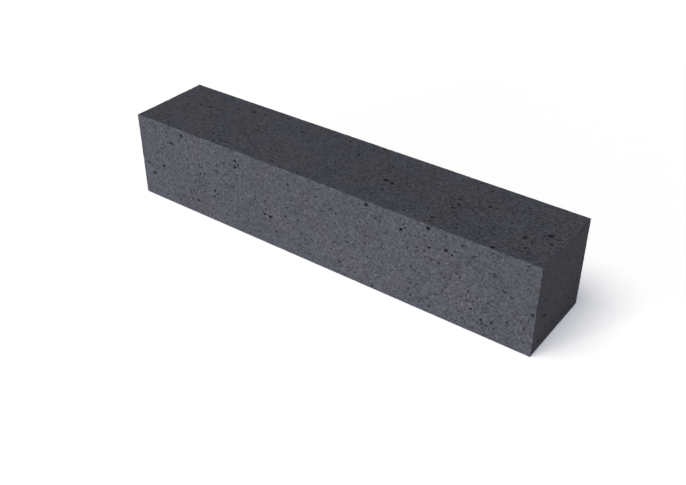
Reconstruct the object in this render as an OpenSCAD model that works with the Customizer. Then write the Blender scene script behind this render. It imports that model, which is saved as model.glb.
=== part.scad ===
// Concrete stacking block, cast in one piece.
// It lies on its bed face, as in the first course of a low garden wall.
// X runs along its length, Y from the front face (-Y) to the back face, and Z up.
// The origin is the centre of the bed face.

/* [Block] */
// Length, from end face to end face
block_length = 750; // [200:5:1200]
// Depth, from the front face to the back face
block_depth = 150; // [60:5:400]
// Height, which is the height of one course
block_height = 150; // [60:5:400]

/* [Arrises] */
// Radius that the mould leaves on all twelve arrises
arris_radius = 1; // [0.5:0.5:15]

/* [Hidden] */
concrete_colour = [0.35, 0.36, 0.39];
arc_facets = 48;

// A rectangle about the origin with four rounded corners: a cross of two
// squares, with a circle in each corner of the cross.
module rounded_rectangle(size_x, size_y, radius) {
    square([size_x, size_y - 2 * radius], center = true);
    square([size_x - 2 * radius, size_y], center = true);
    for (side_x = [-1, 1], side_y = [-1, 1])
        translate([side_x * (size_x / 2 - radius), side_y * (size_y / 2 - radius)])
            circle(r = radius, $fn = arc_facets);
}

// The outline seen from above, which rounds the four upright arrises.
module plan_prism() {
    linear_extrude(height = block_height, center = true)
        rounded_rectangle(block_length, block_depth, arris_radius);
}

// The outline seen from the front, which rounds the four arrises that run
// from front to back.
module front_prism() {
    rotate([90, 0, 0])
        linear_extrude(height = block_depth, center = true)
            rounded_rectangle(block_length, block_height, arris_radius);
}

// The outline seen from the end, which rounds the four long arrises.
module end_prism() {
    rotate([90, 0, 90])
        linear_extrude(height = block_length, center = true)
            rounded_rectangle(block_depth, block_height, arris_radius);
}

// The block is what the three prisms share, raised onto its bed face.
module block() {
    color(concrete_colour)
        translate([0, 0, block_height / 2])
            intersection() {
                plan_prism();
                front_prism();
                end_prism();
            }
}

block();
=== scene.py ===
# %% [markdown]
# # A concrete stacking block, dressed for its portrait
#
# The block is one casting: anthracite concrete, vibrated into a steel mould and stripped out
# when it has set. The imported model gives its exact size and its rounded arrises. This lesson
# gives it the skin of the real one: the air voids left open where bubbles stuck to the mould,
# the fine sand and pinholes in the cement, and the slightly worn arrises.
#
# Everything is in metres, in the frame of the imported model. Z is up, X runs along the block,
# and the front face looks along -Y.

# %% Load the frame
import math

import bpy
import numpy as np
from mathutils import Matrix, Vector
from mathutils.geometry import delaunay_2d_cdt


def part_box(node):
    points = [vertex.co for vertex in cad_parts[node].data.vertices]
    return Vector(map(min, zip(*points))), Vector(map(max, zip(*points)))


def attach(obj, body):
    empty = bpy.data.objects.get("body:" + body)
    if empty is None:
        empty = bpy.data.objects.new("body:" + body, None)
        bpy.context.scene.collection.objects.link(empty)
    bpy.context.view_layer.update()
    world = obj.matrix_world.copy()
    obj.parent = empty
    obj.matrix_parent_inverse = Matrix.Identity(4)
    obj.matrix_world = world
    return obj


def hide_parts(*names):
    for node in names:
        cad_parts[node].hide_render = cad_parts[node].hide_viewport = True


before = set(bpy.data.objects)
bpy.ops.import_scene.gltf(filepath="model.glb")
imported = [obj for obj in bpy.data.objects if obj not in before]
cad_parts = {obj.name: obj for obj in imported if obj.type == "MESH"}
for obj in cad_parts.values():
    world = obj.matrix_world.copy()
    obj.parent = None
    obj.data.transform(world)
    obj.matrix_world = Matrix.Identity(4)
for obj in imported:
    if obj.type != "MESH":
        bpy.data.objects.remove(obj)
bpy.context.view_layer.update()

MM = 0.001
low, high = (np.array(corner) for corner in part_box("block"))
size = high - low
centre = (low + high) / 2
print("block", np.round(size / MM, 1), "mm")

# %% [markdown]
# ## The camera
#
# The block is seen from above its right front corner, so that the front, the top and the right
# end all show. The camera is set by the point it stands on, how far it is turned about the
# upright axis and how far it looks down, as on a tripod.

# %% Set up the camera
CAMERA_STAND = np.array([0.7382, -1.0012, 0.8435])
CAMERA_TURN = 36.4
CAMERA_TILT = 34.17
LENS_MM = 48.36
SENSOR_MM = 36.0


def add_camera():
    """A camera at its stand, turned left by CAMERA_TURN degrees and tipped down by CAMERA_TILT."""
    data = bpy.data.cameras.new("camera")
    data.lens = LENS_MM
    data.sensor_width = SENSOR_MM
    camera = bpy.data.objects.new("camera", data)
    camera.location = CAMERA_STAND
    camera.rotation_euler = (math.radians(90 - CAMERA_TILT), 0, math.radians(CAMERA_TURN))
    bpy.context.scene.collection.objects.link(camera)
    bpy.context.scene.camera = camera


add_camera()
camera_distance = float(np.linalg.norm(CAMERA_STAND - centre))
print("camera", round(camera_distance, 3), "m from the middle of the block")

# %% [markdown]
# ## Six faces, each with its own ruler
#
# Every face of the block is a flat rectangle, so a point on it needs only two numbers: how far
# along the face and how far up it. Each face has a corner, two directions and an outward
# direction, and one short function turns flat points into points in space. Everything that is
# drawn on a face, the voids above all, is then laid out in two dimensions, as on paper.

# %% Lay out the six faces
X, Y, Z = np.eye(3)
FACE_DIRECTIONS = {
    "front": (X, Z),
    "back": (-X, Z),
    "top": (X, Y),
    "bed": (X, -Y),
    "right_end": (Y, Z),
    "left_end": (-Y, Z),
}
FACES = list(FACE_DIRECTIONS)
face_along = np.array([along for along, up in FACE_DIRECTIONS.values()])
face_up = np.array([up for along, up in FACE_DIRECTIONS.values()])
face_out = np.cross(face_along, face_up)
face_corner = centre + size / 2 * (face_out - face_along - face_up)
face_size = np.stack([np.abs(face_along) @ size, np.abs(face_up) @ size], axis=1)


def on_face(face, flat):
    """The corner of the face, plus the first number along it, plus the second number up it."""
    return face_corner[face] + flat[..., :1] * face_along[face] + flat[..., 1:] * face_up[face]


for name, extent in zip(FACES, face_size):
    print(name, np.round(extent / MM), "mm")

# %% [markdown]
# ## Where the air voids are
#
# Fresh concrete holds air. Vibration drives most of it out, and what stays against the steel
# leaves small open hollows: a few as wide as a pencil, many as wide as a pinhead. They come in
# loose swarms, and most are nearly round, but where two bubbles met they are long. A bubble that
# hung on the steel by its side leaves a deep hole, and one that was pressed flat leaves a dish.
#
# The voids that a person would know this block by are listed, in millimetres along and up the
# face, in three tables: deep, shallow and wide, dish-like ones. The rest are scattered by rule,
# from a fixed seed: the number of voids falls steeply with their width, and half of them gather
# in swarms.

# %% The listed voids
# Each is (along, up, length, width, slant in degrees). Little light reaches the bottom of a deep
# void, so it looks nearly black. A shallow one is dark grey, and a dish is a soft grey shadow.
DEEP_VOIDS = {
    "front": [
        (101, 140, 7.4, 5, -5), (76, 118.5, 11.4, 3.8, -3), (51, 68, 7.5, 5, -5),
        (168, 60, 6, 4.6, 40), (166, 49, 5, 4.4, 0), (128, 26.8, 7, 4.6, -15),
        (218, 132, 6.2, 4.4, 0), (217, 121, 6.4, 5, 10), (224.5, 127.5, 4.8, 3.2, 20),
        (275.5, 55, 6.4, 4.2, 0), (287.6, 54, 9.6, 5.2, 5), (472, 144.4, 7.2, 6.6, 0),
        (577, 144.6, 7.2, 5.8, 20), (532.5, 126, 7.4, 4.6, 35), (538.5, 131, 4.4, 3.6, 50),
        (580, 114, 6.2, 4.2, 40), (607, 120, 7.6, 5.2, 30), (617, 116, 4.2, 4, 0),
        (670, 27.5, 5.2, 4, 60), (672.5, 21.8, 4.4, 4, 0), (687, 30, 4.8, 4.2, 0),
        (653, 39, 5.2, 3.8, 60), (745, 71.5, 5.6, 5, 0),
    ],
    "top": [
        (461, 67, 9.4, 7.6, 10), (473.6, 65, 6.6, 6.4, -20), (725, 75.5, 8.8, 7.4, -20),
        (622, 93.5, 8, 6.2, -45), (571, 21, 7.2, 5.8, -50), (673.6, 5.2, 6.8, 6, 0),
        (607, 26, 4.8, 4.4, 0), (734.5, 57.5, 5.6, 5, 0),
    ],
    "right_end": [(31, 54.5, 6.6, 4.6, -25), (23, 58.5, 5.6, 4, -28)],
}
SHALLOW_VOIDS = {
    "front": [
        (651, 127, 7.4, 5, 35), (684, 110.5, 7.2, 4.6, 0), (597, 94, 6.4, 4.4, 30),
        (552, 40.5, 5, 4.4, 90), (680, 21.5, 4.4, 4, 0), (26, 46, 11, 5, 5),
        (408, 112.5, 7.4, 5, 15), (424, 24, 6.6, 4.8, 35), (366, 14.5, 6.6, 5, 0),
        (484.5, 5, 5.4, 4.4, 0), (438, 67, 6, 3.6, 0), (40, 140, 5, 4, 20),
        (66, 136, 6.4, 3.4, -15), (66, 115.5, 4.8, 3.4, -20), (15, 63.5, 5.6, 4.6, 0),
        (39, 90, 4.6, 3.8, 0), (110, 85, 5, 3.6, 0), (108, 99, 3.6, 2.8, 0), (142, 95, 5, 3.6, 20),
        (138, 82, 4.2, 3.2, 20), (148, 84.5, 6.4, 3.8, 30), (174, 55, 4.6, 3.4, 0),
        (176, 46, 4, 3.2, 0), (115, 25.5, 5.6, 3.8, 20), (91, 23, 4.4, 3.4, 80),
        (146, 27, 4, 3.4, 0), (193, 121, 4.2, 3.2, 0), (196, 100, 5, 3.4, 0),
        (220.5, 107.5, 4.8, 3.6, 20), (195, 82, 5.2, 3.8, 0), (211, 82, 5, 3, 15),
        (183, 77, 4, 3, 20), (176, 109, 4, 3, 0), (248, 62.5, 5, 4.2, 0), (36, 58, 3.8, 3, 0),
        (38, 75, 4, 3.2, 0), (145, 50, 5, 3, 25), (142, 61, 4.4, 3, 0), (213, 31, 4, 3.2, 0),
        (239, 29, 4, 3.4, 0), (20, 78, 3.6, 3, 0), (325, 127, 5.4, 3.6, 20), (328, 118, 4, 3, 0),
        (322, 84, 6, 3.4, 10), (319, 66, 5.6, 4.6, 50), (343, 68, 5.2, 3.8, 10),
        (358, 38.5, 4, 3.2, 10), (370, 43, 5, 3, 0), (348, 45, 4.6, 3, 0),
        (277, 46, 5.6, 3.6, 10), (264, 31, 5.6, 4.4, 20), (278, 80, 5.4, 4.6, 0),
        (278, 65, 4.2, 3.6, 80), (259.5, 90, 3.6, 3, 0), (299, 30, 5, 3.4, 0),
        (361, 111, 5.8, 3.6, 10), (357, 122.5, 5.4, 3.8, 0), (391.5, 104, 4.6, 3.4, 10),
        (370, 101, 3.6, 2.8, 0), (417, 109, 5, 3.8, 80), (396, 116, 3.4, 2.8, 60),
        (414, 57, 5.2, 3.6, 20),
        (449, 66, 5, 4.4, 20), (443.5, 61, 4, 3.4, 0), (448, 41, 4.8, 3.8, 20),
        (428.5, 46.5, 4.4, 3, 0), (475.5, 54, 5.2, 4, 0), (471, 77, 4.6, 4.4, 0),
        (461, 111.5, 4.6, 3.8, 80), (472, 90, 5.6, 3.2, 0), (497, 126, 4.6, 4.2, 0),
        (488.5, 129, 4.2, 3.4, 0), (457, 27, 4, 3.6, 0), (420, 71, 4.6, 3.6, 0), (382, 77, 4.6, 3, 0),
        (368, 81, 3.6, 2.8, 90), (383, 10, 4, 3.4, 0), (544, 110, 3.6, 3, 0), (561, 107, 5.4, 4, 0),
        (573, 105, 4.8, 3.8, 20), (623, 124, 5, 4, 10), (632, 138, 6.2, 5.2, 0),
        (605, 142, 5, 3.6, 0), (644, 116.5, 4.4, 3.2, 20), (676, 110, 4, 3.4, 0),
        (585, 95.5, 4.8, 4.4, 0), (552, 69.5, 5.4, 4.4, 0), (558.5, 65, 6, 5, 30),
        (548, 46, 4.4, 3.8, 0), (562, 41, 3.8, 3, 80), (549.5, 28.5, 4.8, 4, 90),
        (553, 19, 4.2, 3.4, 90), (586, 12, 6, 3.2, 25), (608, 74, 4.8, 4.2, 0),
        (604, 79.5, 3.2, 2.6, 0), (609, 57, 4.8, 3.4, 0), (606, 50, 4.8, 3.4, 0),
        (646, 75, 4.2, 3, 20), (647, 67, 5.6, 4, 0), (662, 62.5, 4.4, 3.8, 0),
        (667.5, 58.5, 4.2, 3.6, 0), (678, 61, 4, 3, 0), (655, 52.5, 3.6, 3.2, 0),
        (645, 50, 4.4, 3.2, 0), (691.5, 22, 4.2, 3.6, 0), (664, 21, 4.4, 3.8, 90),
        (673, 15, 4, 3, 0), (710, 42, 6.2, 5.2, 80), (730, 53.5, 4.6, 3.8, 0),
        (736, 43.5, 4.6, 3.6, 0), (741, 60.5, 4.2, 3.6, 0), (731, 145.4, 4.6, 3.6, 20),
        (729, 137.5, 4.6, 3.2, 20), (634, 26, 4, 3.2, 0), (641, 17, 4.6, 3.4, 0),
        (632, 8, 4.2, 3.2, 0), (659, 8.5, 4.8, 4, 0), (719, 128, 4, 3.4, 0), (584, 27, 3.4, 2.8, 0),
        (596, 40, 4.4, 3, 0), (569, 53, 3.2, 2.6, 0), (626.5, 89, 4.2, 3.4, 0),
        (630.5, 38.5, 4.2, 3.4, 0), (545, 100, 4.4, 3.4, 0), (571.5, 131, 4.2, 3.4, 0),
        (82, 13.5, 4.6, 3.8, 0), (241, 6, 4.2, 3.2, 0), (678, 144, 4.2, 3.4, 0),
    ],
    "top": [
        (102, 54, 4, 3.6, 0), (699, 52, 9.4, 7, 90), (718.2, 70.6, 4.4, 4, 0),
        (725, 65.4, 5, 4, 0), (710, 30, 6, 5, 0), (581, 60.5, 8, 6.2, 0),
        (382.5, 106.5, 7.2, 4.6, -50), (471, 41, 6.6, 4.8, -40), (154, 123.5, 7, 5, -45),
        (174.5, 128, 6, 4.8, 0), (113.5, 94.5, 4.6, 3.4, -30), (132, 5.4, 6, 4.4, 0),
        (169, 6.5, 5.8, 4.4, 0), (174.5, 16, 5, 4.4, 0), (187, 14.5, 5.6, 5, 0),
        (163, 24, 5, 4.4, 0), (151, 25.5, 5, 4, 0), (215, 139, 7.6, 3.4, 0),
        (201, 139, 5, 3.4, 0), (194, 55, 7, 2.8, -50), (201, 77, 7.4, 2.8, -50),
        (64, 9, 6, 3.6, -50), (125, 88, 4, 3, 0), (200, 92, 4, 3.6, 0), (238, 12, 4, 3.6, 0),
        (215, 9, 3.6, 3.2, 0), (392.5, 133, 6, 4, 30), (347, 134, 6, 3.8, -45),
        (316, 134, 4.2, 3.8, 0), (408, 142.5, 6.6, 4.6, 0), (418, 136, 4.6, 4, 0),
        (340, 7, 6, 4.6, 0), (427, 39, 5, 3.6, -50), (427, 28, 3.4, 3, 0), (448, 26, 4, 3, 0),
        (431, 54, 5, 3.8, 0), (366, 46, 4.4, 3, -45), (369, 75, 5, 4, 0), (310, 47, 4, 3, 0),
        (288, 10, 4.8, 3.4, -50), (260, 40, 5, 4, -20), (272, 40, 4, 3, 0),
        (484, 90, 4.8, 3.8, -40), (471, 73, 4, 3.4, 0), (450, 91, 5.4, 3, 0),
        (447, 105, 4.8, 3.6, -50), (465, 119, 4, 3, 0), (491, 76, 4, 3.4, 0),
        (412, 18, 4.2, 3.4, 0), (577, 85, 6, 4.6, 0), (583, 72, 7, 5.4, 0),
        (575, 66.5, 4.6, 4, 0), (587, 50.5, 4.6, 3.8, 0), (604, 93, 4.6, 3.4, -50),
        (617, 84, 4, 3.2, 0), (606, 71, 4.6, 3.6, -60), (631, 95, 4.2, 3.8, 0),
        (528, 13, 4.8, 4.4, 0), (553, 37, 5, 3.4, 0), (549, 51, 4, 3.4, 0),
        (536, 24, 4.8, 3.8, 0), (643, 22.5, 4.4, 3.2, -40), (595, 44, 5, 3, -50),
        (573, 12, 5, 3.2, -45), (549, 11, 4, 3, 0), (514, 66, 4, 3.4, 0),
        (519, 113, 4.8, 3.8, -20), (583, 126, 5, 3.8, 0), (604, 133, 5, 4.2, 0),
        (580, 133, 4, 3.4, 0), (633, 131, 4.8, 3.8, 0), (670, 123, 4.2, 3.4, 0),
        (684, 123, 4.6, 3.8, 0), (667, 106, 5, 3.4, -60), (678, 110.5, 4.6, 3.6, 0),
        (650, 107, 4, 3.6, 0), (655, 99, 4.2, 3.6, 0), (693, 97, 5.4, 4.4, 0),
        (667, 73.5, 4.6, 3.2, -50), (646, 78, 4, 3, 0), (671, 84, 5, 3, -55),
        (628, 56, 5, 3.4, -50), (662, 33, 5, 4.4, 0), (638, 36, 4.2, 3.8, 0), (710, 57, 5, 4, 0),
        (712, 47, 4.2, 3.6, 0), (704, 18, 5.2, 4.6, 0),
        (697, 19, 4.2, 3.8, 0), (737, 72, 3.6, 3, 0), (705, 44.5, 3, 2.8, 0), (743, 92, 4, 3, 0),
        (741, 35, 3.4, 3, 0), (612, 17, 4, 3.6, 0), (581, 143.8, 6, 5.4, 0),
        (685, 140.5, 4.8, 4.2, 0), (724.5, 105.5, 4.2, 3.6, 0), (501.5, 57, 4, 3.4, 0),
    ],
    "right_end": [
        (20.5, 16.5, 7, 4.2, -35), (131, 21, 5, 4, 0), (60, 26, 5, 3.8, 0),
        (70, 17, 4.8, 3.8, 0), (116, 31.5, 6.4, 4.2, -30), (123, 144.6, 5.2, 3.2, 0),
        (142, 89, 4.6, 4, 0), (28, 82, 5.4, 3.4, -20), (36, 33, 5, 3.6, -30),
        (88, 116.5, 6.4, 3.8, -30),
    ],
}
DISH_VOIDS = {
    "front": [
        (702, 91, 9.8, 5.4, -5), (713, 85.6, 8.4, 5, -5), (507, 109, 5.4, 3.6, 10),
        (178, 99, 8, 5.2, -20), (380, 124.5, 6.6, 3.2, 35), (384, 139.5, 6.4, 4.2, 30),
        (51, 101, 8.8, 3.6, -3),
    ],
    "top": [
        (265, 115, 8.6, 6, -45), (292, 97, 7, 5, -45), (326, 97, 8, 6, 0), (80, 94, 9, 6.4, -45),
        (61, 91.5, 8, 5.6, -45), (40, 79, 7, 5, -45), (48, 30, 7.4, 4.6, -40),
        (82, 132, 7, 4.6, -40), (105, 72, 7, 4.4, -45),
    ],
}
# The depth on each face, as a multiple of the void's mean half width. It also sets how dark the
# painted shade down in a void is, which is why it differs from face to face.
DEEP = {"front": 1.2, "top": 1.2, "right_end": 0.9}
SHALLOW = {"front": 0.75, "top": 0.86, "right_end": 0.58}
DISH = {"front": 0.6, "top": 0.62}
# From here on a void is a row of seven numbers, in metres and radians: its face, its place along
# and up that face, half its length, half its width, its slant and its depth.
FACE = 0
PLACE = slice(1, 3)
HALF_LENGTH, HALF_WIDTH, SLANT, DEPTH = 3, 4, 5, 6


def set_by_hand(table, depths):
    """A row for each void of a table. The depth is its multiple of sqrt(length * width) / 2."""
    rows = []
    for face, voids in table.items():
        rows += [(FACES.index(face), *void, depths[face]) for void in voids]
    face, along, up, length, width, slant, depth = np.array(rows, float).T
    deep = depth * np.sqrt(length * width) / 2
    lengths = np.stack([along, up, length / 2, width / 2, deep], axis=1) * MM
    return np.column_stack([face, lengths[:, :4], np.radians(slant), lengths[:, 4]])


tables = [(DEEP_VOIDS, DEEP), (SHALLOW_VOIDS, SHALLOW), (DISH_VOIDS, DISH)]
landmark_voids = np.concatenate([set_by_hand(*table) for table in tables])
print(len(landmark_voids), "voids set by hand")

# %% The voids scattered by rule
rng = np.random.default_rng(23)
SMALLEST_VOID = 1.4 * MM
SWARM_SPREAD = 20 * MM
LONERS = 0.5
LONGEST_STRETCH = 0.9
# Depths as multiples of half the width.
SCATTER_DEPTHS = (0.45, 1.1)
# For each face: how many voids, how many swarms, the widest void, and how steeply the number of
# voids falls with their width. It falls less steeply where no voids are listed.
SCATTER = {
    "front": (640, 13, 3.4 * MM, 2.6),
    "back": (640, 12, 7.4 * MM, 2.0),
    "top": (780, 10, 3.6 * MM, 2.6),
    "bed": (420, 10, 6.0 * MM, 2.2),
    "right_end": (90, 3, 3.2 * MM, 2.6),
    "left_end": (130, 3, 6.0 * MM, 2.4),
}
# Where the swarms are on the two faces that show most, in millimetres.
SWARMS = {
    "front": [
        (555, 60), (608, 64), (660, 62), (680, 25), (715, 45), (190, 100), (150, 58), (480, 90),
        (440, 60), (350, 112), (120, 25), (300, 55), (560, 105),
    ],
    "top": [
        (585, 70), (675, 105), (708, 38), (440, 40), (478, 85), (165, 20), (190, 62), (622, 30),
        (600, 100), (730, 70),
    ],
}


def scatter(name, count, swarms, widest, steepness):
    """Voids on one face, widest first.

    A width is SMALLEST_VOID times (1 - p) to the power -1/steepness, where p is an even chance
    that is cut off at the widest. LONERS is the share that lie anywhere on the face. The others
    lie round the middles of the swarms, at distances that follow a bell curve. Length over
    width is 1 plus LONGEST_STRETCH times the cube of another chance.
    """
    face = FACES.index(name)
    chance = rng.random(count) * (1 - (SMALLEST_VOID / widest) ** steepness)
    width = np.sort(SMALLEST_VOID * (1 - chance) ** (-1 / steepness))[::-1]
    anywhere = rng.random((count, 2)) * face_size[face]
    middles = rng.random((swarms, 2)) * face_size[face]
    if name in SWARMS:
        middles = np.array(SWARMS[name]) * MM
    swarming = middles[rng.integers(swarms, size=count)] + rng.normal(0, SWARM_SPREAD, (count, 2))
    spot = np.where(rng.random((count, 1)) < LONERS, anywhere, swarming)
    stretch = 1 + LONGEST_STRETCH * rng.random(count) ** 3
    half_width = width / 2 / np.sqrt(stretch)
    deep = width / 2 * rng.uniform(*SCATTER_DEPTHS, count)
    slant = rng.uniform(0, math.pi, count)
    half_length = half_width * stretch
    return np.column_stack([np.full(count, face), spot, half_length, half_width, slant, deep])


scattered_voids = np.concatenate([scatter(name, *rule) for name, rule in SCATTER.items()])
scattered_voids = scattered_voids[np.argsort(-scattered_voids[:, HALF_LENGTH])]
print(len(scattered_voids), "voids scattered, before those without room are left out")

# %% [markdown]
# Two hollows can't share the same concrete. Each candidate, those listed first and then the
# longest, is kept only if it leaves a thin wall to every void kept before it, and to the arrises.
# Voids on neighbouring faces can meet under the arris between them, so the distance is measured
# in space.

# %% Keep the voids that have room
ARRIS_RADIUS = 1.0 * MM
ARRIS_WALL = 0.2 * MM
THIN_WALL = 0.5 * MM
RIM_WANDER = 1.15
ROUND_THE_CORNER = 1.3


def keep_with_room(voids):
    """The rows that have room, in the order given.

    A rim stays clear of the rounded arris. A void's middle is further from that of each kept void
    than both radii and a thin wall, with the radii taken ROUND_THE_CORNER times where the faces
    differ.
    """
    face = voids[:, FACE].astype(int)
    spot = voids[:, PLACE]
    reach = voids[:, HALF_LENGTH] * RIM_WANDER
    place = on_face(face, spot)
    edge_room = np.minimum(spot, face_size[face] - spot).min(axis=1)
    fits = edge_room > reach + ARRIS_RADIUS + ARRIS_WALL
    kept = []
    for i in np.flatnonzero(fits):
        gap = np.linalg.norm(place[kept] - place[i], axis=1)
        apart = np.where(face[kept] == face[i], 1.0, ROUND_THE_CORNER)
        if (gap > apart * (reach[kept] + reach[i]) + THIN_WALL).all():
            kept.append(i)
    return voids[kept]


voids = keep_with_room(np.concatenate([landmark_voids, scattered_voids]))
for face, name in enumerate(FACES):
    here = voids[voids[:, FACE] == face]
    longest = 2 * here[:, HALF_LENGTH].max()
    print(name, len(here), "voids, the longest", round(longest / MM, 1), "mm")

# %% [markdown]
# ## The shape of a void
#
# A void is a bubble cut off by the mould, so its wall is steep at the rim and round at the
# bottom. As a surface it is a function of two numbers: the turn about its middle and the ring
# on the way down. All voids of one class are worked out together, as one array.
#
# A Boolean cut for each void would take minutes and leave a ragged mesh. Here the rims are
# drawn into the flat faces first, and each hollow hangs from its own rim.

# %% Rims and hollows
UNDERCUT = 0.08
# A rim strays from its ellipse in three waves, each given by its crests and its usual height.
RIM_CRESTS = np.array([2, 3, 4])
RIM_WAVES = (0.055, 0.035, 0.02)
# How far a bottom usually lies from under the middle, as a share of the half width.
BOTTOM_SHIFT = 0.16
# For voids at least this long: corners round the rim, and rings from rim to bottom.
CLASSES = [(5.0 * MM, 18, 5), (3.2 * MM, 13, 4), (2.2 * MM, 9, 3), (0.0, 7, 2)]
wave_height = rng.normal(0, 1, (len(voids), 3)) * RIM_WAVES
wave_place = rng.uniform(0, 2 * math.pi, (len(voids), 3))
bottom_shift = rng.normal(0, BOTTOM_SHIFT, (len(voids), 2)) * voids[:, HALF_WIDTH, None]


def rim_distance(chosen, turn):
    """From each chosen void's middle to its rim, at each turn t.

    This is the ellipse a*b / sqrt((b*cos t)^2 + (a*sin t)^2), times 1 plus three small waves that
    have two, three and four crests round the rim.
    """
    a = voids[chosen, HALF_LENGTH][:, None]
    b = voids[chosen, HALF_WIDTH][:, None]
    t = turn - voids[chosen, SLANT][:, None]
    ellipse = a * b / np.hypot(b * np.cos(t), a * np.sin(t))
    waves = np.cos(turn[..., None] * RIM_CRESTS + wave_place[chosen][:, None])
    return ellipse * (1 + (waves * wave_height[chosen][:, None]).sum(axis=-1))


def hollows(chosen, corners, rings):
    """Flat places and depths of the wall's points, as [void, ring, corner]. Ring 0 is the rim.

    The angle q runs from 0 at the rim to 90 degrees at the bottom. The wall stands at cos(q) *
    (1 + UNDERCUT * sin(2q)) of the rim's distance, at sin(q) of the depth, and leans sideways by
    sin(q)^2 of the bottom's own shift.
    """
    turn = np.linspace(0, 2 * math.pi, corners, endpoint=False)[None]
    q = (np.arange(rings) / rings * math.pi / 2)[:, None]
    reach = np.cos(q) * (1 + UNDERCUT * np.sin(2 * q))
    direction = np.stack([np.cos(turn[0]), np.sin(turn[0])], axis=-1)
    rim = rim_distance(chosen, turn)[:, None, :, None] * direction
    shift = np.sin(q)[..., None] ** 2 * bottom_shift[chosen][:, None, None]
    flat = voids[chosen, PLACE][:, None, None] + rim * reach[..., None] + shift
    depth = voids[chosen, DEPTH][:, None, None] * np.sin(q) + np.zeros(corners)
    return flat, depth


# %% [markdown]
# ## From hollows to triangles
#
# The corners of a hollow lie on a grid of rings and turns, so its triangles come from counting
# alone: each cell of the grid gives two, and the last ring closes on one bottom point. All
# triangles run anticlockwise seen from outside, which makes their faces point outwards.
#
# Each point also gets a place on a chart, a flat picture of all six faces side by side. The
# chart becomes the UV map, on which a bake can store the finished colours. On the chart a
# hollow's rings lie one inside the other, so that its wall has room of its own.

# %% A place for every point
CHART_GAP = 4 * MM
# The first five faces lie one above another on the chart, and the last one beside the fifth.
chart_corner = np.full((len(FACES), 2), CHART_GAP / 2)
chart_corner[1:5, 1] += np.cumsum(face_size[:4, 1] + CHART_GAP)
chart_corner[5] = chart_corner[4] + (face_size[4, 0] + CHART_GAP, 0)
chart_side = (chart_corner + face_size).max() + CHART_GAP / 2

points, charts, painted_shade_values, flush_marks, triangles = [], [], [], [], []


def add_points(face, flat, chart, depth, hollow):
    """Stores points that lie at a depth under flat places, and gives their numbers, same shape."""
    first = sum(map(len, points))
    place = on_face(face, flat) - depth[..., None] * face_out[face]
    points.append(place.reshape(-1, 3))
    charts.append(((chart + chart_corner[face]) / chart_side).reshape(-1, 2))
    painted_shade_values.append(np.broadcast_to(hollow, depth.shape).ravel())
    flush_marks.append((depth == 0).ravel())
    return (first + np.arange(depth.size)).reshape(depth.shape)


# %% Build the hollows
DARKEST = 1.4
rims = []


def add_hollows(chosen, corners, rings):
    """Adds the chosen hollows' points and triangles, and keeps their rims for the faces.

    How dark a point is, its hollow value, is the root of its ring's share of the way down, times
    the void's depth over its half width, up to DARKEST. The material paints it into the colour as
    shade down in the hollow.
    """
    face = voids[chosen, FACE].astype(int)[:, None, None]
    flat, depth = hollows(chosen, corners, rings)
    ring = (np.arange(rings) / rings)[:, None]
    middle = voids[chosen, PLACE][:, None, None]
    chart = middle + (flat[:, :1] - middle) * (1 - ring)[..., None]
    dark = np.minimum(voids[chosen, DEPTH] / voids[chosen, HALF_WIDTH], DARKEST)[:, None, None]
    wall = add_points(face, flat, chart, depth, np.sqrt(ring) * dark)
    bottom_flat = middle + bottom_shift[chosen][:, None, None]
    bottom = add_points(face, bottom_flat, middle, voids[chosen, DEPTH][:, None, None], dark)
    outer, inner = wall[:, :-1], wall[:, 1:]
    outer_next, inner_next = np.roll(outer, -1, axis=2), np.roll(inner, -1, axis=2)
    last = wall[:, -1:]
    triangles.append(np.stack([outer, outer_next, inner_next], axis=-1).reshape(-1, 3))
    triangles.append(np.stack([outer, inner_next, inner], axis=-1).reshape(-1, 3))
    fan = [last, np.roll(last, -1, axis=2), np.broadcast_to(bottom, last.shape)]
    triangles.append(np.stack(fan, axis=-1).reshape(-1, 3))
    for one, void in enumerate(chosen):
        rims.append((void, wall[one, 0], flat[one, 0]))


length = 2 * voids[:, HALF_LENGTH]
longest_left = np.inf
for least, corners, rings in CLASSES:
    chosen = np.flatnonzero((length >= least) & (length < longest_left))
    add_hollows(chosen, corners, rings)
    longest_left = least
    print(len(chosen), "hollows of", corners, "corners and", rings, "rings")

# %% [markdown]
# ## The faces and their arrises
#
# Along its edges a face is a strip of small cells, because that is where the arris rounds. The
# rows stand where the rounded arris will have turned 0, 22.5 and 45 degrees. Inside the strip
# the face is flat, and is filled with triangles that meet every rim exactly. That is what a
# constrained Delaunay triangulation does: it is given the rims as lines it must keep.

# %% Fill the six faces
STRIP_STEP = 2.6 * MM
LATTICE_STEP = 11 * MM
LATTICE_CLEARANCE = 2 * MM
# Where in its cell a loose point may lie, along and up.
CELL_MIDDLE = (0.3, 0.7)
# How near two points count as one for the triangulation, in millimetres.
SAME_POINT = 1e-7
strip_rows = ARRIS_RADIUS * np.array([0, 1 - math.tan(math.pi / 8), 1])
strip_cells = len(strip_rows) - 1


def stations(extent):
    """Distances along a face: the strip's rows, then even steps, then the rows again.

    They are whole micrometres, so that two faces agree on the points they share.
    """
    steps = round((extent - 2 * ARRIS_RADIUS) / STRIP_STEP)
    middle = np.linspace(ARRIS_RADIUS, extent - ARRIS_RADIUS, steps + 1)
    return np.round(np.concatenate([strip_rows[:-1], middle, extent - strip_rows[-2::-1]]), 6)


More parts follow.
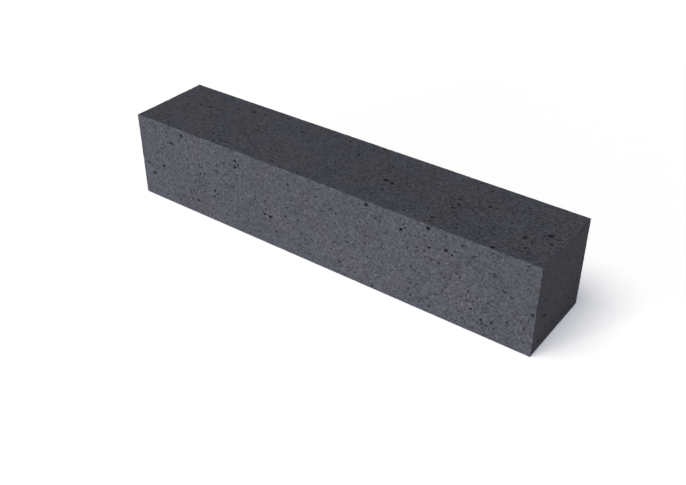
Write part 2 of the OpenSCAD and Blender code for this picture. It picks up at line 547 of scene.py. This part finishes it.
def add_strip(face):
    """Adds the strip of cells round the face, and gives the loop of points inside it."""
    along, up = stations(face_size[face, 0]), stations(face_size[face, 1])
    flat = np.stack(np.meshgrid(along, up, indexing="ij"), axis=-1)
    grid = add_points(face, flat, flat, np.zeros(flat.shape[:2]), 0.0)
    a, b, c, d = grid[:-1, :-1], grid[1:, :-1], grid[1:, 1:], grid[:-1, 1:]
    within = slice(strip_cells, -strip_cells)
    outside = np.ones(a.shape, bool)
    outside[within, within] = False
    triangles.append(np.stack([a, b, c], axis=-1)[outside])
    triangles.append(np.stack([a, c, d], axis=-1)[outside])
    inner = grid[within, within]
    loop = np.concatenate([inner[:-1, 0], inner[-1, :-1], inner[:0:-1, -1], inner[0, :0:-1]])
    return loop, flat.reshape(-1, 2)[loop - grid[0, 0]]


def add_lattice(face):
    """Adds loose points to the flat of the face, clear of the rims, so no triangle is very long."""
    steps = np.maximum((face_size[face] / LATTICE_STEP).astype(int), 2)
    cell = face_size[face] / steps
    in_cell = rng.uniform(*CELL_MIDDLE, (steps.prod(), 2))
    flat = (np.indices(steps).reshape(2, -1).T + in_cell) * cell
    here = voids[voids[:, FACE] == face]
    gap = np.linalg.norm(flat[:, None] - here[None, :, PLACE], axis=2) - here[:, HALF_LENGTH]
    flat = flat[gap.min(axis=1) > LATTICE_CLEARANCE]
    return add_points(face, flat, flat, np.zeros(len(flat)), 0.0), flat


def closed_lines(loop_sizes):
    """Pairs of numbers that join each point of each loop to the next one."""
    first = np.repeat(np.cumsum(loop_sizes) - loop_sizes, loop_sizes)
    place = np.arange(sum(loop_sizes)) - first
    return np.column_stack([first + place, first + (place + 1) % np.repeat(loop_sizes, loop_sizes)])


def in_a_hollow(corner_void, corner_flat):
    """True for a triangle that would cover a hollow.

    Its three corners are on one rim, and its middle is nearer to the void's middle than the rim.
    """
    void = corner_void[:, 0]
    same = (void >= 0) & (corner_void == void[:, None]).all(axis=1)
    away = corner_flat[same].mean(axis=1) - voids[void[same], PLACE]
    turn = np.arctan2(away[:, 1], away[:, 0])[:, None]
    inside = same.copy()
    inside[same] = np.hypot(*away.T) < rim_distance(void[same], turn)[:, 0]
    return inside


def add_flat(face):
    """Fills the inside of the strip with triangles that keep to the rims and cover no hollow."""
    loop, loop_flat = add_strip(face)
    lattice, lattice_flat = add_lattice(face)
    here = [rim for rim in rims if voids[rim[0], FACE] == face]
    number = np.concatenate([loop, *(rim[1] for rim in here), lattice])
    flat = np.concatenate([loop_flat, *(rim[2] for rim in here), lattice_flat])
    owners = [-1, *(rim[0] for rim in here), -1]
    lengths = [len(loop), *(len(rim[1]) for rim in here), len(lattice)]
    void = np.repeat(owners, lengths)
    lines = closed_lines(np.array(lengths[:-1]))
    filled = delaunay_2d_cdt((flat / MM).tolist(), lines.tolist(), [], 0, SAME_POINT)
    # Of all that the triangulation gives, the third result is its triangles.
    corners = np.array(filled[2])
    corners = corners[~in_a_hollow(void[corners], flat[corners])]
    triangles.append(number[corners])
    print(FACES[face], len(corners), "flat triangles round", len(here), "rims")


for face in range(len(FACES)):
    add_flat(face)

# %% [markdown]
# ## Rounding the arrises
#
# So far the skin is that of a sharp box. Each point in a face is now moved onto the rounded
# block: take the nearest point of a box that is smaller by the radius all round, and go from
# there one radius towards the old point. Flat points stay where they are, and points beside an
# arris come to lie on its curve.
#
# The mould gives the radius, and handling wears it: the radius wanders a little along each
# arris, and here and there a grain has been knocked out.

# %% Round the arrises
WEAR_LENGTH = 14 * MM
WEAR_SHARE = 0.1
# The waves in a ripple, and their lengths as multiples of the length asked for.
RIPPLE_WAVES = 12
RIPPLE_LENGTHS = (0.7, 1.5)
# Nicks on all arrises together, how long each is, and how deep in millimetres.
NICKS = 90
NICK_LENGTH = 2.2 * MM
NICK_DEPTHS = (0.3, 1.2)


def ripple(place, wavelength):
    """The sum of plane waves of about that length, each with its own direction and phase.

    It is divided by the root of half the number of waves, so that its values spread by about 1.
    """
    direction = rng.normal(size=(RIPPLE_WAVES, 3))
    direction /= np.linalg.norm(direction, axis=1, keepdims=True)
    pace = 2 * math.pi / (wavelength * rng.uniform(*RIPPLE_LENGTHS, RIPPLE_WAVES))
    phase = rng.uniform(0, 2 * math.pi, RIPPLE_WAVES)
    waves = np.cos(place @ (direction * pace[:, None]).T + phase)
    return waves.sum(axis=1) / math.sqrt(RIPPLE_WAVES / 2)


def arris_radius(place):
    """The mould's radius times 1 plus WEAR_SHARE of a ripple, and more at each nick.

    A nick adds its depth times exp(-(d / NICK_LENGTH)^2), where d is the distance from it.
    """
    edge = rng.integers(3, size=NICKS)
    spot = np.where(rng.random((NICKS, 3)) < 0.5, low, high)
    spot[np.arange(NICKS), edge] = (low + rng.random((NICKS, 3)) * size)[np.arange(NICKS), edge]
    knocked = np.zeros(len(place))
    for where, deep in zip(spot, rng.uniform(*NICK_DEPTHS, NICKS) * MM):
        knocked += deep * np.exp(-((place - where) ** 2).sum(axis=1) / NICK_LENGTH**2)
    return ARRIS_RADIUS * (1 + WEAR_SHARE * ripple(place, WEAR_LENGTH)) + knocked


def rounded(place):
    """Each point p goes to c + r * (p - c) / |p - c|, c being its nearest point in the core.

    The core is the box made smaller by the radius r on every side.
    """
    radius = arris_radius(place)[:, None]
    core = np.clip(place, low + radius, high - radius)
    away = place - core
    return core + radius * away / np.linalg.norm(away, axis=1, keepdims=True)


place = np.concatenate(points)
chart = np.concatenate(charts)
hollow = np.concatenate(painted_shade_values)
flush = np.concatenate(flush_marks)
triangle = np.concatenate(triangles)

# Points that two faces share are now made one.
MICROMETRE = 1e-6
micrometres = np.round(place / MICROMETRE).astype(int)
_, first_use, shared = np.unique(micrometres, axis=0, return_index=True, return_inverse=True)
second_nearest = np.sort(np.minimum(place - low, high - place), axis=1)[:, 1]
arris = np.where(flush, np.clip(1 - second_nearest / ARRIS_RADIUS, 0, 1), 0)
place[flush] = rounded(place[flush])
used, corner = np.unique(shared.ravel()[triangle], return_inverse=True)
corner = corner.reshape(-1, 3)
edges = np.sort(np.concatenate([corner[:, :2], corner[:, 1:], corner[:, ::2]]), axis=1)
times_used = np.unique(edges, axis=0, return_counts=True)[1]
print(len(used), "points and", len(corner), "triangles")
print((times_used != 2).sum(), "edges that are open or doubled")

# %% Make the mesh
SHARP_ANGLE = math.radians(50)


def add_block():
    """The skin as a mesh object at the origin.

    Its UV map is the chart. Two attributes say how far a point is in a hollow, which sets the
    painted shade there, or on an arris.
    """
    mesh = bpy.data.meshes.new("cast_block")
    mesh.vertices.add(len(used))
    mesh.vertices.foreach_set("co", place[first_use[used]].astype(np.float32).ravel())
    mesh.loops.add(corner.size)
    mesh.loops.foreach_set("vertex_index", corner.astype(np.int32).ravel())
    mesh.polygons.add(len(corner))
    mesh.polygons.foreach_set("loop_start", np.arange(0, corner.size, 3, dtype=np.int32))
    mesh.update(calc_edges=True)
    for name, values in (("hollow", hollow), ("arris", arris)):
        attribute = mesh.attributes.new(name, "FLOAT", "POINT")
        attribute.data.foreach_set("value", values[first_use[used]].astype(np.float32))
    uv_map = mesh.uv_layers.new(name="OFBake")
    uv_map.uv.foreach_set("vector", chart[triangle.ravel()].astype(np.float32).ravel())
    mesh.shade_smooth()
    mesh.set_sharp_from_angle(angle=SHARP_ANGLE)
    mesh.validate()
    piece = bpy.data.objects.new("cast_block", mesh)
    bpy.context.scene.collection.objects.link(piece)
    return piece


cast_block = add_block()
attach(cast_block, "root")
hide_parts("block")
print("cast_block:", len(cast_block.data.polygons), "faces")

# %% [markdown]
# ## The concrete
#
# Anthracite concrete is coloured all through with black iron oxide, and its cement skin is dull
# and a little blue. Up close it is never one grey. The cement drifts between a cooler and a
# warmer tone, the pigment clouds over a hand's width, the sand gives dark and light grains a few
# millimetres apart, and pinholes dot the cement.
#
# A picture of concrete could be wrapped round the block, but it would blur close up and show its
# seams. Here each of these things has its own size, so each is its own pattern, laid in the
# block's own coordinates and multiplied into one shade.

# %% Small helpers for shader nodes
def add_node(tree, kind, links=(), **settings):
    """A node with its settings. Its inputs are set from pairs of input and value or socket."""
    node = tree.nodes.new(kind)
    for name, value in settings.items():
        setattr(node, name, value)
    for name, value in links:
        if isinstance(value, bpy.types.NodeSocket):
            tree.links.new(value, node.inputs[name])
        else:
            node.inputs[name].default_value = value
    return node


def calculate(tree, operation, *values):
    """The result of one Math node."""
    return add_node(tree, "ShaderNodeMath", enumerate(values), operation=operation).outputs[0]


def rescale(tree, value, from_low, from_high, to_low, to_high):
    """Value carried from one range to another, and held within it, by a smooth step."""
    links = [("Value", value), ("From Min", from_low), ("From Max", from_high)]
    links += [("To Min", to_low), ("To Max", to_high)]
    return add_node(tree, "ShaderNodeMapRange", links, interpolation_type="SMOOTHSTEP").outputs[0]


def noise(tree, position, feature, detail=2.0, roughness=0.5):
    """Noise of about 0.5 whose features are that many metres across."""
    links = [("Vector", position), ("Scale", 1 / feature)]
    links += [("Detail", detail), ("Roughness", roughness)]
    return add_node(tree, "ShaderNodeTexNoise", links).outputs["Fac"]


# %% [markdown]
# ### Specks
#
# Pinholes, dark grains and light grains are all specks: round spots of uneven size, here and
# there. One group makes them. It cuts space into cells, picks a share of the cells by chance and
# puts a speck in the middle of each.

# %% The speck group
SMALLEST_SPECK = 0.4
SPECK_CORE = 0.6


def speck_group():
    """Position, Cell, Share and Radius give a Mask that is 1 in a speck.

    The radius is given as a share of the cell, and each speck has SMALLEST_SPECK to 1 of it. Out
    to SPECK_CORE of its radius the mask is 1, and from there it falls to 0 by a smooth step.
    """
    group = bpy.data.node_groups.new("specks", "ShaderNodeTree")
    group.interface.new_socket("Position", in_out="INPUT", socket_type="NodeSocketVector")
    for name in ("Cell", "Share", "Radius"):
        group.interface.new_socket(name, in_out="INPUT", socket_type="NodeSocketFloat")
    group.interface.new_socket("Mask", in_out="OUTPUT", socket_type="NodeSocketFloat")
    inputs = add_node(group, "NodeGroupInput").outputs
    scale = calculate(group, "DIVIDE", 1.0, inputs["Cell"])
    links = [("Vector", inputs["Position"]), ("Scale", scale)]
    cells = add_node(group, "ShaderNodeTexVoronoi", links)
    chance = add_node(group, "ShaderNodeSeparateColor", [("Color", cells.outputs["Color"])])
    picked = calculate(group, "LESS_THAN", chance.outputs[0], inputs["Share"])
    spread = 1 - SMALLEST_SPECK
    own_size = calculate(group, "MULTIPLY_ADD", chance.outputs[1], spread, SMALLEST_SPECK)
    radius = calculate(group, "MULTIPLY", own_size, inputs["Radius"])
    radius = calculate(group, "MULTIPLY", radius, picked)
    core = calculate(group, "MULTIPLY", radius, SPECK_CORE)
    mask = rescale(group, cells.outputs["Distance"], radius, core, 0.0, 1.0)
    mask = calculate(group, "MULTIPLY", mask, picked)
    add_node(group, "NodeGroupOutput", [("Mask", mask)])
    return group


specks = speck_group()


def add_specks(tree, position, cell, share, radius):
    """One layer of specks."""
    links = [("Position", position), ("Cell", cell), ("Share", share), ("Radius", radius)]
    return add_node(tree, "ShaderNodeGroup", links, node_tree=specks).outputs["Mask"]


# %% The colour of the cement
COOL_CEMENT = (0.0658, 0.0691, 0.0860, 1.0)
WARM_CEMENT = (0.0694, 0.0703, 0.0822, 1.0)
DRIFT_SIZE = 55 * MM
DRIFT_SPAN = (0.25, 0.75)


def cement_colour(tree, position):
    """The cooler and the warmer grey, mixed by a noise whose features are DRIFT_SIZE across."""
    drifting = noise(tree, position, DRIFT_SIZE, detail=0.0)
    drift = rescale(tree, drifting, *DRIFT_SPAN, 0.0, 1.0)
    # A Mix node has sockets for numbers, vectors and colours. Its two colours are 6 and 7.
    links = [(0, drift), (6, COOL_CEMENT), (7, WARM_CEMENT)]
    return add_node(tree, "ShaderNodeMix", links, data_type="RGBA").outputs[2]


# %% [markdown]
# ### One shade from many
#
# Sand and pinholes show a little less on the ends, which were pressed against the mould's end
# plates, and a little more on the top. Arrises rub against other blocks, which leaves them pale
# in places. Light hardly reaches the bottom of a hollow, so that shade is also painted into the
# colour: the concrete is made darker further down inside.

# %% The shade of the sand
# Most of a noise lies between these two values.
NOISE_SPAN = (0.3, 0.7)
# How light the cement is at the two ends of that span.
BLOTCH_SHADES = (0.92, 1.08)
GRAIN_SHADES = (0.74, 1.26)
# Each kind of speck: the size of a cell, the share of cells with a speck, and its radius.
DARK_GRAINS = (4.4 * MM, 0.50, 0.44)
LIGHT_GRAINS = (4.6 * MM, 0.40, 0.42)
PINHOLES = (5.2 * MM, 0.32, 0.32)
DARK_GRAIN_SHADE = 0.53
LIGHT_GRAIN_SHADE = 1.45
# Pinholes are darkened in the colour: painted shade inside the tiny holes.
PINHOLE_PAINTED_SHADE = 0.45
# How much of the sand's contrast shows on the ends and on the top.
END_GRAIN = 0.9
TOP_GRAIN = 1.2
FACING_SPAN = (0.5, 0.9)


def multiply(tree, first, *others):
    """All the values multiplied together."""
    product = first
    for other in others:
        product = calculate(tree, "MULTIPLY", product, other)
    return product


def shade_by(tree, mask, factor):
    """1 where the mask is 0, and the factor where it is 1."""
    return rescale(tree, mask, 0.0, 1.0, 1.0, factor)


def sand_shade(tree, position, blotch, grain, pinholes):
    """How light sand and cement are, about 1: blotch, grain and the three specks, multiplied."""
    dark_grains = add_specks(tree, position, *DARK_GRAINS)
    light_grains = add_specks(tree, position, *LIGHT_GRAINS)
    cement = multiply(
        tree,
        rescale(tree, blotch, *NOISE_SPAN, *BLOTCH_SHADES),
        rescale(tree, grain, *NOISE_SPAN, *GRAIN_SHADES),
    )
    return multiply(
        tree,
        cement,
        shade_by(tree, dark_grains, DARK_GRAIN_SHADE),
        shade_by(tree, light_grains, LIGHT_GRAIN_SHADE),
        shade_by(tree, pinholes, PINHOLE_PAINTED_SHADE),
    )


def grain_strength(tree, normal):
    """How strongly the sand shows: END_GRAIN on the ends, TOP_GRAIN on the top, 1 elsewhere."""
    facing = add_node(tree, "ShaderNodeSeparateXYZ", [("Vector", normal)]).outputs
    endwise = calculate(tree, "ABSOLUTE", facing["X"])
    on_end = rescale(tree, endwise, *FACING_SPAN, 1.0, END_GRAIN)
    on_top = rescale(tree, facing["Z"], *FACING_SPAN, 1.0, TOP_GRAIN)
    return multiply(tree, on_end, on_top)


# %% The concrete material
CLOUD_SIZE = 90 * MM
CLOUD_SHADES = (0.95, 1.05)
BLOTCH_SIZE = 7 * MM
GRAIN_SIZE = 3.8 * MM
CEMENT_SIZE = 0.9 * MM
# Painted shade in the voids: over this span of the hollow value the colour darkens to the next share.
HOLLOW_SPAN = (0.35, 1.0)
PAINTED_HOLLOW_SHADE = 0.36
# An arris is worn in patches, where the blotch noise is high. Elsewhere it has a little wear.
PATCH_SPAN = (0.40, 0.60)
LEAST_WEAR = 0.2
WORN_SHADE = 1.80
SPECULAR_LEVEL = 0.15
ROUGHNESS = (0.82, 0.96)
# The relief's height, and what grain, fine cement and pinholes each add to it.
RELIEF = 0.12 * MM
GRAIN_RELIEF = 0.6
CEMENT_RELIEF = 0.4
PINHOLE_RELIEF = -1.4


def concrete_material():
    """Cement colour times cloud and sand, with painted shade in the hollows, paler on worn arrises.
    """
    material = bpy.data.materials.new("anthracite_concrete")
    material.use_nodes = True
    tree = material.node_tree
    shader = tree.nodes["Principled BSDF"]
    coordinates = add_node(tree, "ShaderNodeTexCoord").outputs
    position = coordinates["Object"]
    painted_shade_in = add_node(tree, "ShaderNodeAttribute", attribute_name="hollow").outputs["Fac"]
    arris_in = add_node(tree, "ShaderNodeAttribute", attribute_name="arris").outputs["Fac"]

    clouds = noise(tree, position, CLOUD_SIZE, detail=3.0)
    cloud = rescale(tree, clouds, *NOISE_SPAN, *CLOUD_SHADES)
    blotch = noise(tree, position, BLOTCH_SIZE)
    grain = noise(tree, position, GRAIN_SIZE, detail=1.5)
    pinholes = add_specks(tree, position, *PINHOLES)
    sand = sand_shade(tree, position, blotch, grain, pinholes)
    contrast = calculate(tree, "SUBTRACT", sand, 1.0)
    strength = grain_strength(tree, coordinates["Normal"])
    sand = calculate(tree, "MULTIPLY_ADD", contrast, strength, 1.0)
    # Painted shade, darker further down in each hollow.
    depths = rescale(tree, painted_shade_in, *HOLLOW_SPAN, 1.0, PAINTED_HOLLOW_SHADE)
    wear = multiply(tree, arris_in, rescale(tree, blotch, *PATCH_SPAN, LEAST_WEAR, 1.0))
    shade = multiply(tree, cloud, sand, depths, shade_by(tree, wear, WORN_SHADE))
    links = [(0, cement_colour(tree, position)), (1, shade)]
    colour = add_node(tree, "ShaderNodeVectorMath", links, operation="MULTIPLY")
    tree.links.new(colour.outputs[0], shader.inputs["Base Color"])

    shader.inputs["Specular IOR Level"].default_value = SPECULAR_LEVEL
    rough = rescale(tree, grain, *NOISE_SPAN, *ROUGHNESS)
    tree.links.new(rough, shader.inputs["Roughness"])
    fine = noise(tree, position, CEMENT_SIZE, roughness=0.6)
    height = calculate(tree, "MULTIPLY", fine, CEMENT_RELIEF)
    height = calculate(tree, "MULTIPLY_ADD", grain, GRAIN_RELIEF, height)
    height = calculate(tree, "MULTIPLY_ADD", pinholes, PINHOLE_RELIEF, height)
    links = [("Height", height), ("Distance", RELIEF), ("Strength", 1.0)]
    bump = add_node(tree, "ShaderNodeBump", links)
    tree.links.new(bump.outputs["Normal"], shader.inputs["Normal"])
    return material


cast_block.data.materials.append(concrete_material())
print("concrete material:", len(cast_block.data.materials[0].node_tree.nodes), "nodes")

# %% [markdown]
# ## Floor and light
#
# The block lies on a plain white floor under studio light. A soft lamp stands low in front of
# the block, which is why the front is the brightest face. A broad one hangs high on the left,
# lights the top and gives the short shadow on the right. A weak one stands near the right end,
# to keep it from going black, one stands behind for whoever walks round the block, and the pale
# surroundings do the rest.
#
# The camera has to see a white floor, but more light would wash the block out. So the floor is
# made white for the camera alone, with Light Path: part of its white is its own, and part is
# light from the lamps, which is what the block's shadow takes away. The shadow is slightly blue,
# because the floor's own white is. The two parts together come to a little more than white, so
# that the long, faint shadow that the low front lamp throws behind the block stays unseen.

# %% Light Path helper
def seen_directly(tree):
    """1 for rays from the camera, and for rays that mirror or glass has sent on."""
    path = add_node(tree, "ShaderNodeLightPath").outputs
    seen = calculate(tree, "MAXIMUM", path["Is Camera Ray"], path["Is Glossy Ray"])
    return calculate(tree, "MAXIMUM", seen, path["Is Transmission Ray"])


# %% The floor
FLOOR_SIDE = 14.0
FLOOR_DROP = 0.2 * MM
FLOOR_OWN_WHITE = (0.265, 0.280, 0.340, 1.0)
FLOOR_LIT_WHITE = (1.150, 1.125, 1.035, 1.0)
FLOOR_BOUNCE = (0.80, 0.80, 0.80, 1.0)


def floor_material():
    """Seen directly, its own white plus a white that the lamps light. Otherwise, pale grey."""
    material = bpy.data.materials.new("white_floor")
    material.use_nodes = True
    tree = material.node_tree
    tree.nodes.remove(tree.nodes["Principled BSDF"])
    own = add_node(tree, "ShaderNodeEmission", [("Color", FLOOR_OWN_WHITE), ("Strength", 1.0)])
    lit = add_node(tree, "ShaderNodeBsdfDiffuse", [("Color", FLOOR_LIT_WHITE)])
    shown = add_node(tree, "ShaderNodeAddShader", [(0, own.outputs[0]), (1, lit.outputs[0])])
    bounce = add_node(tree, "ShaderNodeBsdfDiffuse", [("Color", FLOOR_BOUNCE)])
    links = [(0, seen_directly(tree)), (1, bounce.outputs[0]), (2, shown.outputs[0])]
    mix = add_node(tree, "ShaderNodeMixShader", links)
    tree.links.new(mix.outputs[0], tree.nodes["Material Output"].inputs["Surface"])
    return material


def add_floor():
    """A square sheet, a hair under the bed face."""
    half = FLOOR_SIDE / 2
    outline = [(-half, -half), (half, -half), (half, half), (-half, half)]
    corners = [(x, y, -FLOOR_DROP) for x, y in outline]
    mesh = bpy.data.meshes.new("floor")
    mesh.from_pydata(corners, [], [(0, 1, 2, 3)])
    floor = bpy.data.objects.new("floor", mesh)
    mesh.materials.append(floor_material())
    bpy.context.scene.collection.objects.link(floor)


add_floor()
print("floor", FLOOR_SIDE, "m square,", round(FLOOR_DROP / MM, 1), "mm under the block")

# %% The surroundings
WHITE = (1.0, 1.0, 1.0, 1.0)
DOME_LEVEL = 0.10


def add_surroundings():
    """Even light from all round, and white wherever the camera sees past the floor."""
    world = bpy.data.worlds.new("studio")
    world.use_nodes = True
    tree = world.node_tree
    dome = tree.nodes["Background"]
    dome.inputs["Color"].default_value = WHITE
    dome.inputs["Strength"].default_value = DOME_LEVEL
    white = add_node(tree, "ShaderNodeBackground", [("Color", WHITE), ("Strength", 1.0)])
    links = [(0, seen_directly(tree)), (1, dome.outputs[0]), (2, white.outputs[0])]
    mix = add_node(tree, "ShaderNodeMixShader", links)
    tree.links.new(mix.outputs[0], tree.nodes["World Output"].inputs["Surface"])
    bpy.context.scene.world = world


add_surroundings()

# %% [markdown]
# ### Lamps by their level
#
# A lamp is easier to set by what it does than by its power. Its level is how brightly it lights
# a face that is turned towards it: at level 1 such a face shows its colour just as it is written.
# All the lamps together give the front a little more than that, and the top and the right end
# less.

# %% The lamps
def direction_from(turn, height):
    """Towards a lamp, turned right from straight in front and raised by height, in degrees."""
    t, h = math.radians(turn), math.radians(height)
    return np.array([math.sin(t) * math.cos(h), -math.cos(t) * math.cos(h), math.sin(h)])


def aim(lamp, towards):
    """Points the lamp's -Z axis away from the direction it stands in."""
    lamp.rotation_euler = Vector(towards).to_track_quat("Z", "Y").to_euler()


def add_sun(name, turn, height, level, softness):
    """A far lamp, of energy pi times its level. Softness is how wide it looks, in degrees."""
    data = bpy.data.lights.new(name, "SUN")
    data.energy = level * math.pi
    data.angle = math.radians(softness)
    lamp = bpy.data.objects.new(name, data)
    aim(lamp, direction_from(turn, height))
    bpy.context.scene.collection.objects.link(lamp)


def add_panel(name, turn, height, distance, side, level):
    """A square lamp at that distance from the block's middle.

    A panel of power P gives a level of P / (pi * distance)^2, so P is level * (pi * distance)^2.
    """
    data = bpy.data.lights.new(name, "AREA")
    data.size = side
    data.energy = level * (math.pi * distance) ** 2
    lamp = bpy.data.objects.new(name, data)
    towards = direction_from(turn, height)
    lamp.location = centre + distance * towards
    aim(lamp, towards)
    bpy.context.scene.collection.objects.link(lamp)


add_sun("high_lamp", turn=-27, height=65, level=0.56, softness=38)
add_panel("front_panel", turn=-22, height=1.8, distance=5.0, side=0.4, level=0.81)
add_panel("right_panel", turn=52, height=0.5, distance=1.2, side=0.16, level=0.103)
add_panel("back_panel", turn=180, height=2, distance=5.0, side=0.6, level=0.35)
bpy.context.scene.view_settings.view_transform = "Standard"
print([lamp.name for lamp in bpy.data.lights], "light the block")
